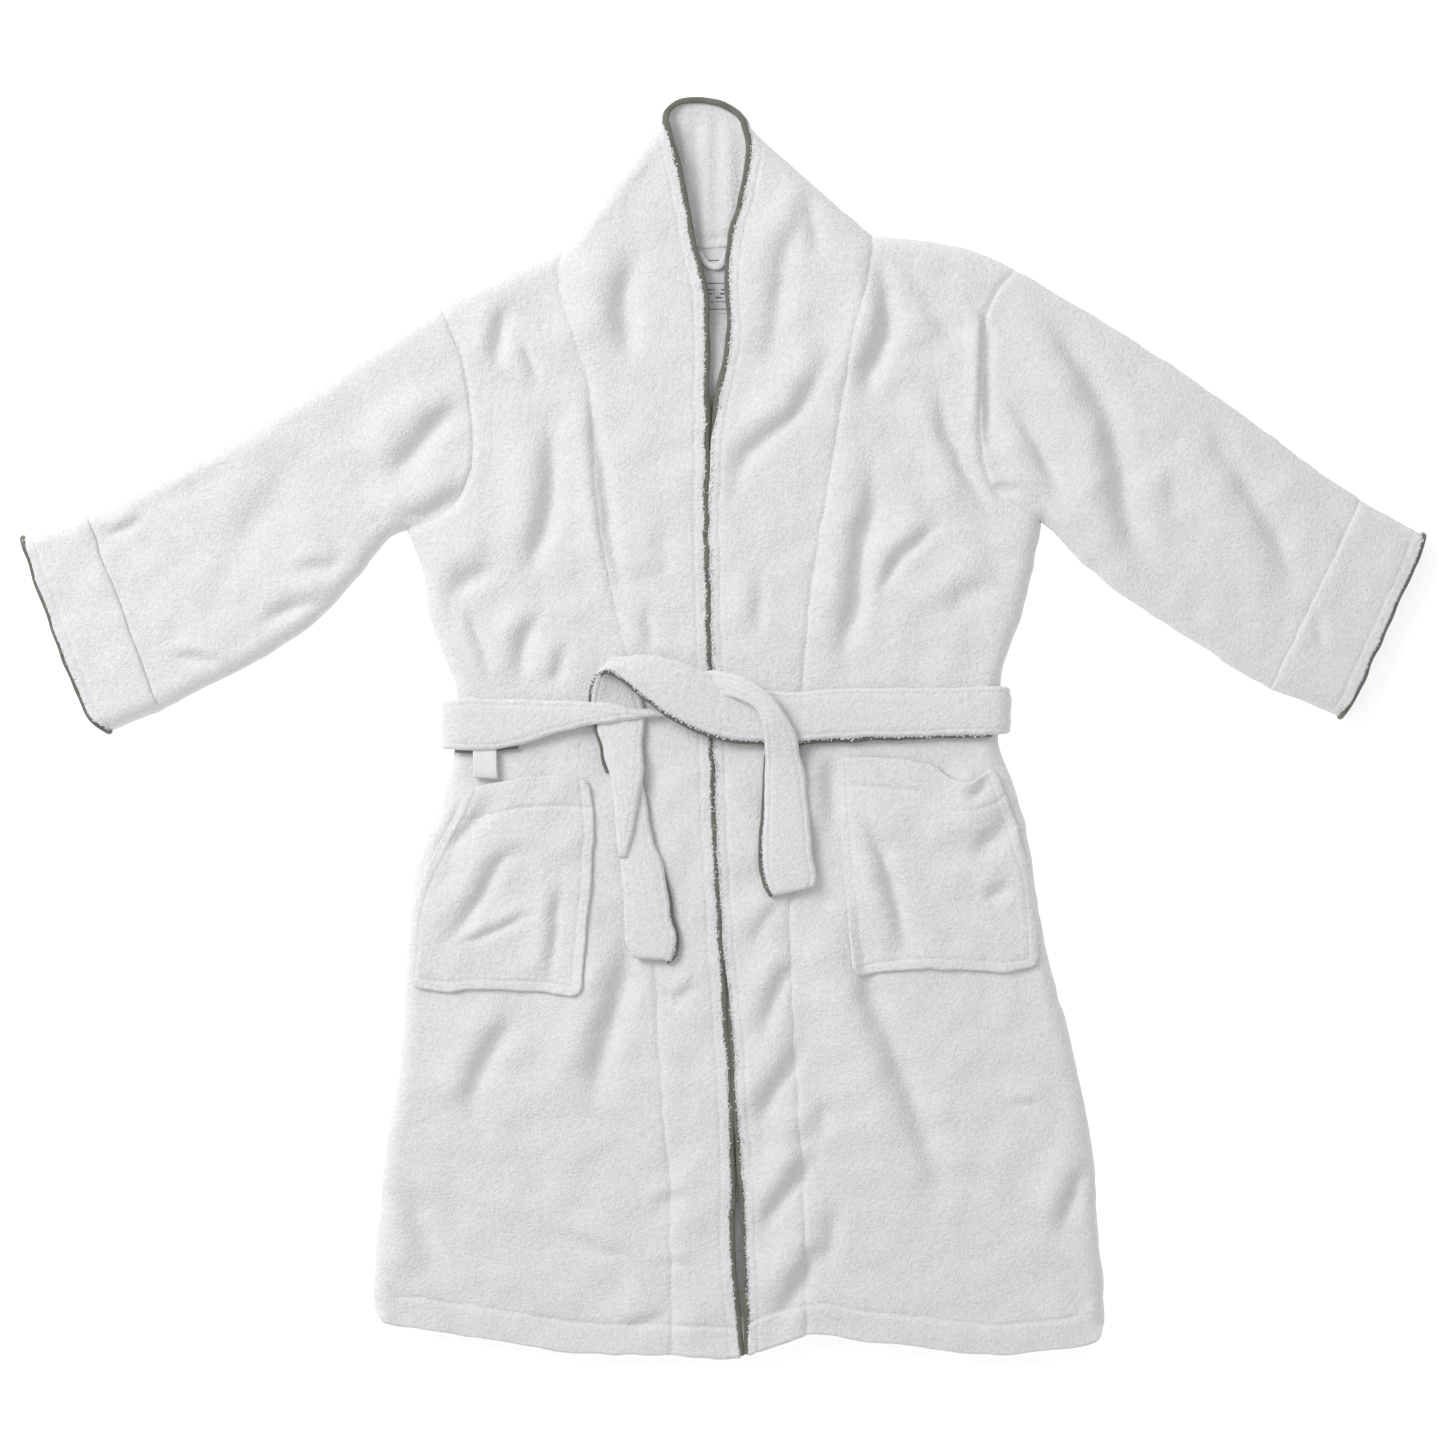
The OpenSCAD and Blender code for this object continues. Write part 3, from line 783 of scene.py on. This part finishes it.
# ---- what each piece is and moves with
def finish(piece, slot, nodes=(), body=None, bend=None):
    """Material from its slot, replaced nodes hidden, and the body that the piece moves with; a piece
    given a bend only has its transform baked in.
    """
    piece.data.materials.append(SLOTS[slot])
    if bend:
        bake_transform(piece)
    else:
        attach(piece, body)
    if nodes:
        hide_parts(*nodes)


def terry(name, grid, thickness, nodes, up=1, around=False, **moves):
    """Sheet of towelling with its outer face on a grid."""
    piece = cloth(name, grid, thickness, up, around)
    finish(piece, "terry", nodes, **moves)
    return piece


# A bend is the two bodies at a joint and the points between which the cloth turns.
COLLAR_BEND = ("robe", "collar", (0, COLLAR_Y - 20, 34), (0, COLLAR_Y + 20, 34))
TAIL_BENDS = {
    "right": ("robe", "right_belt_tail", (70, -8, 42), (70, -32, 42)),
    "left": ("robe", "left_belt_tail", (-95, -8, 42), (-95, -32, 42)),
}
SKIRT_FOLDS = {"right": ((-20, -30), (-70, -630.5)), "left": ((12, -30), (105, -630.5))}
SKIRT_BEND = 14  # half the width of the cloth that turns at the fold
SLEEVE_OUT = (0.957, -0.289)
SLEEVE_BEND = (250, 365)


def skirt_bend(side):
    top, low = np.array(SKIRT_FOLDS[side], float)
    along = unit(low - top)
    inward = np.array([-along[1], along[0]]) * -SIGN[side]
    middle = (top + low) / 2
    start, end = middle - SKIRT_BEND * inward, middle + SKIRT_BEND * inward
    return ("robe", side + "_skirt_flap", (*start, FRONT), (*end, FRONT))


def sleeve_bend(side):
    out = np.array(SLEEVE_OUT) * (SIGN[side], 1)
    start, end = ((*(out * far), 15) for far in SLEEVE_BEND)
    return ("robe", side + "_sleeve_lower", start, end)


# ---- body of the robe
HEM_STITCH = 28  # distance of the hem's stitching from its edge
EDGE_STITCH = 8.5  # distance of a front edge's stitching from it


def hem_line(side, start, end):
    """The hem between a point on it and another further outward."""
    line = outline(HEM, side)
    x = line[:, 0] * SIGN[side]
    inside = line[(x > start[0] * SIGN[side] + 1) & (x < end[0] * SIGN[side] - 1)]
    return np.vstack([start, inside, end])


def to_hem(line, side):
    """A falling line, ended where it meets the hem."""
    hem = outline(HEM, side)
    x = np.interp(-615, line[::-1, 1], line[::-1, 0]) * SIGN[side]
    return between(line, line[0, 1], np.interp(x, hem[:, 0] * SIGN[side], hem[:, 1]))


def hem_shape(xy, side):
    """The folded hem: raised, with a stitched groove along its top."""
    d = distance(xy, [outline(HEM, side)])
    return smooth((HEM_STITCH + 2 - d) / 4) + dent(np.abs(d - HEM_STITCH), 1.6, 1.8)


def front_edge(side):
    """Cloth edge beside the piping of a front."""
    return outline(PIPED_EDGE, side) + np.array([SIGN[side] * PIPING / 2, 0])


def doubled_height(xy, seam, edge):
    """Upper face of the lapels and front bands: sunk at the seam, stitched along the edge."""
    near_seam = distance(xy, [seam])
    z = upper(xy, BAND) - 3.4 * np.exp(-near_seam / 9) + dent(near_seam, 0.8, 3)
    return z + dent(np.abs(distance(xy, [edge]) - EDGE_STITCH), 0.9, 1.4)


def make_front(side):
    seam = to_hem(outline(SEAM, side), side)
    armhole, outer = outline(ARMHOLE, side), body_edge(side)
    hem = hem_line(side, seam[-1], outer[-1])
    xy = patch("front", seam, outer, outline(SHOULDER, side), hem)
    z = upper(xy, FRONT) + dent(distance(xy, [seam]), 1.2, 3)
    z += dent(distance(xy, [armhole]), 2.0, 3.5) + hem_shape(xy, side)
    nodes = (side + "_front_panel", side + "_skirt_corner")
    piece = terry(side + "_front", np.dstack([xy, z]), CLOTH, nodes, bend=skirt_bend(side))


def neck_rise(xy):
    """The inside of the back comes up under the neck opening."""
    x, y = xy[..., 0], xy[..., 1]
    wide = 12 * bell((x + 8) / 70) * smooth((y - 150) / 150)
    return wide + 7 * bell((x + 4) / 40) * bell((y - 360) / 55)


def gap_rise(xy):
    """The inside of the back comes up between the fronts where they part above the hem."""
    x, y = xy[..., 0], xy[..., 1]
    hump = 14 * bell((x - 4) / 55) + 5 * bell((x - 12) / 20)
    return hump * smooth((-340 - y) / 80) * smooth((y + 632) / 50)


def belt_rise(y):
    """The back lies over the belt that runs behind it."""
    return 8.6 * smooth((y + 52) / 20) * smooth((66 - y) / 20)


def make_back():
    lines = [body_edge(side) for side in SIDES]
    neck = spline([(-120, 482), (120, 484)], 6)
    top = np.vstack([outline(SHOULDER, "right")[::-1], neck, outline(SHOULDER, "left")])
    right_hem = hem_line("right", np.array([-10, -630.0]), lines[0][-1])
    left_hem = hem_line("left", np.array([30, -626.0]), lines[1][-1])
    bottom = np.vstack([right_hem[::-1], left_hem])
    xy = patch("back", *lines, top, bottom)
    y = xy[..., 1]
    d = distance(xy, ROLLED)
    creases = np.abs(sampled(RELIEF, xy * (-1, 1))) * 0.5 * smooth(d / 60) * (1 - under_belt(y))
    calm = (1 - smooth((y - 350) / 60)) * (1 - gap_rise(xy) / 20)
    z = lower(xy) + belt_rise(y) * smooth(d / ROLL) + creases * calm
    z = z + neck_rise(xy) + gap_rise(xy)
    piece = terry("back", np.dstack([xy, z]), CLOTH, ("back_panel",), up=-1, body="robe")


def make_shawl(side):
    """Lapel and the collar's front half, from the top of the neck to the belt."""
    seam = outline(SEAM, side)
    edge = between(front_edge(side), 602, BELT_Y)
    outer = np.vstack([outline(COLLAR_FOLD, side)[:-1], seam])
    outer = between(outer, COLLAR_FOLD[side][0][1] - 1, BELT_Y)
    top, bottom = (spline([edge[end], outer[end]]) for end in (0, -1))
    xy = patch("shawl", edge, outer, top, bottom)
    z = doubled_height(xy, seam, edge)
    nodes = (side + "_lapel", side + "_collar")
    piece = terry(side + "_shawl", np.dstack([xy, z]), DOUBLED, nodes, bend=COLLAR_BEND)


def make_band(side):
    """Doubled front band from the belt to the hem."""
    edge, seam = (
        to_hem(between(line, BELT_Y + 4, -640), side)
        for line in (front_edge(side), outline(SEAM, side))
    )
    hem = hem_line(side, edge[-1], seam[-1])
    xy = patch("band", edge, seam, spline([edge[0], seam[0]]), hem)
    z = doubled_height(xy, seam, edge) + hem_shape(xy, side)
    nodes = (side + "_front_band", side + "_skirt_band")
    piece = terry(side + "_band", np.dstack([xy, z]), DOUBLED, nodes, bend=skirt_bend(side))


def make_collar_back():
    """Inside of the collar's back, seen through the neck opening."""
    left = np.vstack([outline(COLLAR_FOLD, "left") - (4, 2), [(154, COLLAR_Y)]])
    right = between(outline(COLLAR_FOLD, "right") + (4, -2), 610, COLLAR_Y)
    top = spline([right[0], (-54, 614), (-46, 622), (-30, 625), (-12, 624), (8, 616), left[0]])
    bottom = spline([right[-1], left[-1]])
    xy = patch("collar_back", right, left, top, bottom)
    x, y = xy[..., 0], xy[..., 1]
    d = distance(xy, ROLLED + [top])
    z = 15 + 4 * (1 - quarter(d / 22)) + 1.6 * sampled(RUMPLE, xy * 1.7) * smooth(d / 30)
    z += 4 * bell((x + 10) / 40) * smooth((560 - y) / 70)
    z += dent(np.abs(y - 489), 2.0, 3)
    grid = np.dstack([xy, np.maximum(z, DOUBLED)])
    piece = terry("collar_back", grid, DOUBLED, (), body="collar")


# ---- sleeves
UNDERARM = {"right": 232, "left": 246}  # where the armhole seam turns outward to the underarm
CUFF_OUT = (0.914, -0.405)


def arm_tube(kind, inner, outer, top, under, level, extra):
    """Closed-round grid of a sleeve or cuff: upper layer, then lower layer."""
    xy = patch(kind, inner, outer, top, under)
    front = np.dstack([xy, upper(xy, level) + extra(xy)])
    back = np.dstack([xy, lower(xy)])[-2:0:-1]
    return np.concatenate([front, back])


def make_sleeve(side):
    armhole, seam = outline(ARMHOLE, side), cuff_seam(side)
    head = between(armhole, armhole[0, 1], UNDERARM[side])
    top = outline(SLEEVE_TOP, side)
    underarm = armhole[armhole[:, 1] < UNDERARM[side] - 1]
    under = np.vstack([head[-1:], underarm[:-1], outline(SLEEVE_UNDER, side)])

    def seams(xy):
        return dent(distance(xy, [armhole]), 2.4, 3) + dent(distance(xy, [seam]), 1.5, 3)

    grid = arm_tube("sleeve", head, seam, top, under, FRONT, seams)
    nodes = (side + "_sleeve_head", side + "_sleeve")
    bend = sleeve_bend(side)
    piece = terry(side + "_sleeve_cloth", grid, CLOTH, nodes, around=True, bend=bend)


def make_cuff(side):
    seam, end = cuff_seam(side), outline(CUFF_END, side)
    top, under = (spline([seam[k], end[k]]) for k in (0, -1))
    body = side + "_sleeve_lower"

    def shape(xy):
        sunk = 1.2 * np.exp(-distance(xy, [seam]) / 3)
        return dent(np.abs(distance(xy, [end]) - 9), 1.0, 1.5) - sunk

    grid = arm_tube("cuff", seam, end, top, under, BAND, shape)
    grid[..., 2] = np.maximum(grid[..., 2], 0.2)
    piece = terry(side + "_cuff_cloth", grid, DOUBLED, (side + "_cuff",), around=True, body=body)
    out = unit(np.array(CUFF_OUT) * (SIGN[side], 1))
    xy = at(end, shares(212, 50, "roll", "roll"))
    upper_run = np.column_stack([xy + out * 2.4, upper(xy, BAND - 3.5)])
    lower_run = np.column_stack([xy + out * 2.4, lower(xy) + 3.2])[-2:0:-1]
    loop = np.vstack([upper_run, lower_run])
    ring = cord(side + "_cuff_edge", loop, 6.2, 5.5, up=(*out, 0), closed=True)
    finish(ring, "piping", (side + "_cuff_piping",), body=body)
    line = upper_run + np.array([*(-out * 2.2), 2.4])
    tufts(side + "_cuff_tufts", [line], 21 + SIGN[side], body=body)


# ---- piping of the fronts
TUCK = 2.4  # middle of the piping below the top of the doubled cloth
PIPING_T = 5.5


def piping_height(side, xy):
    """Middle of the piping: lower on the left side where the right edge covers it."""
    z = np.full(len(xy), BAND - TUCK)
    if side == "left":
        z -= 5.0 * smooth((320 - xy[:, 1]) / 40) * smooth((xy[:, 1] + 330) / 120)
    return z


def on_folds(xy, z):
    """Points at a height that follows the folds at half their depth."""
    return np.column_stack([xy, z + 0.5 * sampled(RELIEF, xy) * (1 - under_belt(xy[:, 1]))])


def on_cloth(xy):
    """Points on the upper face of the doubled cloth."""
    return np.column_stack([xy, upper(xy, BAND)])


def make_pipings():
    runs = {side: outline(PIPED_EDGE, side) for side in SIDES}
    top = spline(NECK_TOP)[1:-1]
    necks = {side: between(runs[side], 604, BELT_Y) for side in SIDES}
    risen = np.arange(1, len(top) + 1) / (len(top) + 1)
    flat = np.vstack([necks["right"][::-1], top, necks["left"]])
    z = np.concatenate([
        piping_height("right", necks["right"])[::-1],
        BAND - TUCK - 12 * np.sin(np.pi * risen) ** 0.5,
        piping_height("left", necks["left"]),
    ])
    piece = cord("neck_piping", on_folds(flat, z), PIPING, PIPING_T)
    nodes = ("right_lapel_piping", "left_lapel_piping", "collar_piping")
    finish(piece, "piping", nodes, bend=COLLAR_BEND)
    lines = [on_cloth(necks[side] + (SIGN[side] * 2.6, 0)) for side in SIDES]
    tufts("neck_tufts", lines, 11, bend=COLLAR_BEND)
    for side in SIDES:
        flat = to_hem(between(runs[side], BELT_Y + 4, -640), side)
        path = on_folds(flat, piping_height(side, flat))
        piece = cord(side + "_front_piping", path, PIPING - 0.6, PIPING_T)
        finish(piece, "piping", (side + "_skirt_piping",), bend=skirt_bend(side))
        line = on_cloth(flat + (SIGN[side] * 2.4, 0))
        tufts(side + "_front_tufts", [line], 12 + SIGN[side], bend=skirt_bend(side))


# ---- pockets
def make_pocket(side):
    lines = {key: side_line(points, side) for key, points in POCKET[side].items()}
    inner, outer, mouth, bottom = (lines[key] for key in ("inner", "outer", "mouth", "bottom"))
    xy = patch("pocket", inner, outer, mouth, bottom)
    for corner in (xy[0, 0].copy(), xy[0, -1].copy(), xy[-1, 0].copy(), xy[-1, -1].copy()):
        inward = unit(xy.mean((0, 1)) - corner)
        near = bell(np.linalg.norm(xy - corner, axis=-1) / 5)
        xy = xy + 3.5 * near[..., None] * inward
    sewn = distance(xy, [inner, outer, bottom])
    opening = distance(xy, [mouth])
    z = upper(xy, FRONT) + 5.2
    z += 3.0 * smooth(sewn / 40) * smooth(1 - opening / 160)
    z += dent(np.abs(sewn - 8), 0.9, 1.4) + dent(np.abs(opening - HEM_STITCH), 1.4, 1.8)
    nodes = (side + "_pocket",)
    piece = terry(side + "_patch_pocket", np.dstack([xy, z]), CLOTH, nodes, body="robe")


# ---- belt
# Edges of the belt from where its left run passes under the knot, round the waist, and back
# over the knot to where it turns down behind the left run.
BELT_TOP = [
    (-40, 13, 42), (-62, 15, 43), (-90, 18, 44), (-117, 23, 44), (-140, 25, 43), (-170, 25, 41),
    (-222, 27, 38.5), (-262, 27, 37.5), (-275, 26, 33), (-279, 26, 21), (-275, 26, 9),
    (-262, 26, 4.3), (0, 32, 4.3), (268, 39, 4.3), (280, 39, 9), (284, 39, 21), (280, 39, 33),
    (268, 39, 37.5), (183, 38, 38), (114, 37, 38.5), (62, 34, 40), (17, 40, 43), (-12, 52, 48),
    (-40, 62, 51), (-70, 70, 50), (-92, 69, 47), (-108, 66, 43), (-104, 56, 38), (-88, 40, 36),
    (-80, 22, 35), (-79, 6, 35),
]
BELT_LOW = [
    (-40, 8, 40), (-62, 9, 41), (-90, 7, 42), (-117, 2, 43), (-140, -1, 42), (-170, -9, 40),
    (-222, -24, 38), (-262, -25, 37.5), (-275, -24, 33), (-279, -24, 21), (-275, -24, 9),
    (-262, -24, 4.3), (0, -18, 4.3), (268, -10, 4.3), (280, -9, 9), (284, -9, 21), (280, -9, 33),
    (268, -9, 37.5), (206, -11, 38), (138, -12, 38.5), (75, -15, 40), (37, -15, 43),
    (-12, -9, 48), (-52, 10, 53), (-90, 39, 57), (-104, 50, 58), (-116, 55, 58), (-128, 48, 55),
    (-132, 32, 47), (-131, 16, 38), (-128, 2, 35),
]
STRAP_OUT = [
    (-34, 50, 43), (-14, 55, 47), (3, 53, 52), (23, 47, 56), (46, 31, 58), (62, 10, 56),
    (73, -11, 50), (79, -35, 43), (83, -65, 40), (87, -94, 39.5), (89, -133, 39.5), (93, -153, 39),
    (91, -160, 38.5),
]
STRAP_IN = [
    (-30, 26, 41), (-14, 29, 44), (0, 29, 48), (14, 27, 53), (30, 17, 55), (39, 3, 54),
    (41, -14, 49), (41, -36, 42), (41, -65, 40), (40, -98, 39.5), (39, -133, 39.5), (44, -160, 39),
    (51, -170, 38.5),
]
LEFT_UPPER_OUT = [(-128, 14, 36), (-127, 0, 37), (-121, -24, 39), (-114, -48, 41), (-109, -85, 43),
                  (-107, -112, 43), (-104, -132, 42)]
LEFT_UPPER_IN = [(-79, 14, 36), (-79, 3, 37), (-80, -24, 39), (-80, -48, 41), (-86, -85, 43),
                 (-91, -112, 43), (-96, -132, 42)]
LEFT_LOWER_OUT = [(-114, -40, 36), (-110, -80, 36), (-105, -120, 37), (-101, -150, 38.5),
                  (-99, -190, 39), (-98, -215, 39), (-90, -231, 38.5)]
LEFT_LOWER_IN = [(-84, -40, 36), (-78, -70, 36), (-70, -112, 37), (-59, -145, 38.5),
                 (-53, -188, 39), (-48, -215, 39), (-52, -236, 38.5)]
PIPED_RUN = slice(17, 30)  # points of BELT_LOW along which the piping shows


def belt_piece(name, one, two, nodes, stitch=1.0, **moves):
    """Padded length of the belt."""
    piece = strap(name, one, two, BELT_T, stitch=stitch)
    finish(piece, "terry", nodes, **moves)


def belt_piping(name, line, nodes=(), width=4.6, height=4.2, **moves):
    finish(cord(name, line, width, height), "piping", nodes, **moves)


def make_belt():
    belt_piece("belt_ring", BELT_TOP, BELT_LOW, ("belt", "belt_knot"), body="robe")
    edge = np.array(BELT_LOW, float)[PIPED_RUN]
    run = edge + (0, -1.5, -2.0)
    run[:2, 1] += 1.5
    run[2:6] += (0, 0, -0.6)
    belt_piping("belt_edge_piping", spline(run), ("belt_piping",), 5.0, body="robe")
    tufts("belt_tufts", [spline(edge[:-1]) + (0, 0.2, 1.0)], 31, body="robe")
    short = spline([(-268, -25.5, 34.5), (-240, -26, 34.5), (-205, -22, 35)])
    belt_piping("belt_left_piping", short, (), 4.0, 4.0, body="robe")


def make_right_tail():
    bend = TAIL_BENDS["right"]
    belt_piece("right_tail", STRAP_OUT, STRAP_IN, ("right_belt_end",), bend=bend)
    line = spline([(42, -30, 37), (41, -65, 36.5), (38.5, -98, 36.5), (37, -133, 37), (41, -158, 37),
                   (49, -170, 37)])
    belt_piping("right_tail_piping", line, ("right_belt_end_piping",), bend=bend)
    tufts("right_tail_tufts", [line[12:] + (2.0, 0.6, 2.2)], 33, 0.6, bend=bend)


def make_left_tail():
    bend = TAIL_BENDS["left"]
    belt_piece("left_tail_low", LEFT_LOWER_OUT, LEFT_LOWER_IN, ("left_belt_end",), 0.6, bend=bend)
    belt_piece("left_tail_high", LEFT_UPPER_OUT, LEFT_UPPER_IN, (), 0.6, bend=bend)
    high = spline([(-128, 6, 36), (-127, -2, 36), (-122, -24, 37.5), (-115, -47, 39)])
    low = spline([(-66, -134, 36), (-58, -155, 37), (-52, -188, 37), (-47, -214, 37), (-49, -230, 37),
                  (-57, -237, 37)])
    belt_piping("left_tail_piping_high", high, bend=bend)
    belt_piping("left_tail_piping_low", low, ("left_belt_end_piping",), bend=bend)
    tufts("left_tail_tufts", [low + (-2.0, 0.6, 2.2)], 35, 0.6, bend=bend)


# ---- tape, label, hanging loop
TAPE_WIDTH = 24
# Inner edge of each tape loop, and the (Y, Z) of the tape's run.
TAPES = {
    "right": (-250, [(20, 31.4), (-14, 33.6), (-30, 37.5), (-46, 38.5), (-52, 37), (-50, 35),
                     (-40, 34.2), (-24, 33.2), (10, 31.8)]),
    "left": (232, [(38, 31.4), (27, 32.4), (0, 32.4), (-8, 31.4)]),
}
LOOP_CENTRE = (-10.5, 478)
LOOP_RADII = (13.5, 19)
LOOP_LEVEL = 21.4
LOOP_POINTS = 40


def make_tapes():
    for side, (x, path) in TAPES.items():
        one, two = ([(edge, y, z) for y, z in path] for edge in (x, x + TAPE_WIDTH))
        name = side + "_tape_loop"
        piece = strap(name, one, two, 1.4, step=2.5, stitch=0, crown=0, ticks="tape", rough=0.1)
        finish(piece, "tape", (side + "_belt_loop",), body="robe")


def make_label_piece():
    low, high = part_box("care_label")
    x, y = np.meshgrid(np.linspace(low[0], high[0], 31) / MM, np.linspace(high[1], low[1], 34) / MM)
    z = CLOTH + 1.2 + neck_rise(np.dstack([x, y])) + 0.5 * np.sin(x / 13) + 0.3 * np.cos(y / 9)
    piece = cloth("woven_label", np.dstack([x, y, z]), 0.8)
    finish(piece, "label", ("care_label",), body="robe")


def make_hanging_loop():
    turn = np.radians(np.linspace(-172, -8, LOOP_POINTS))
    xy = LOOP_CENTRE + np.column_stack([np.cos(turn), np.sin(turn)]) * LOOP_RADII
    path = np.column_stack([xy, np.full(LOOP_POINTS, LOOP_LEVEL)])
    piece = cord("neck_hanging_loop", path, 7, 4.4)
    finish(piece, "terry", ("hanging_loop",), body="neck_loop")


# ---- floor and light
FLOOR_REACH = 40000
KEY_PLACE = (-2.3, 1.8, 2.7)  # metres
KEY_SIZE = 1.9
KEY_POWER = 90.0
SKY_STRENGTH = 0.58


def make_studio():
    corners = [(x * FLOOR_REACH, y * FLOOR_REACH, 0) for x, y in ((-1, -1), (1, -1), (1, 1), (-1, 1))]
    floor = make("floor", corners, [(0, 1, 2, 3)])
    floor.location.z = -0.001
    floor.data.materials.append(make_surface())
    data = bpy.data.lights.new("key", "AREA")
    data.size = KEY_SIZE
    data.energy = KEY_POWER
    key = bpy.data.objects.new("key", data)
    bpy.context.collection.objects.link(key)
    key.location = KEY_PLACE
    key.rotation_mode = "QUATERNION"
    key.rotation_quaternion = (-Vector(KEY_PLACE)).to_track_quat("-Z", "Y")
    world = bpy.data.worlds.new("world")
    bpy.context.scene.world = world
    world.use_nodes = True
    sky = world.node_tree.nodes["Background"].inputs
    sky["Color"].default_value = (1, 1, 1, 1)
    sky["Strength"].default_value = SKY_STRENGTH
    bpy.context.scene.view_settings.view_transform = "Standard"


make_back()
make_collar_back()
for side in SIDES:
    make_front(side)
    make_shawl(side)
    make_band(side)
    make_sleeve(side)
    make_cuff(side)
    make_pocket(side)
make_pipings()
make_belt()
make_right_tail()
make_left_tail()
make_tapes()
make_label_piece()
make_hanging_loop()
make_studio()
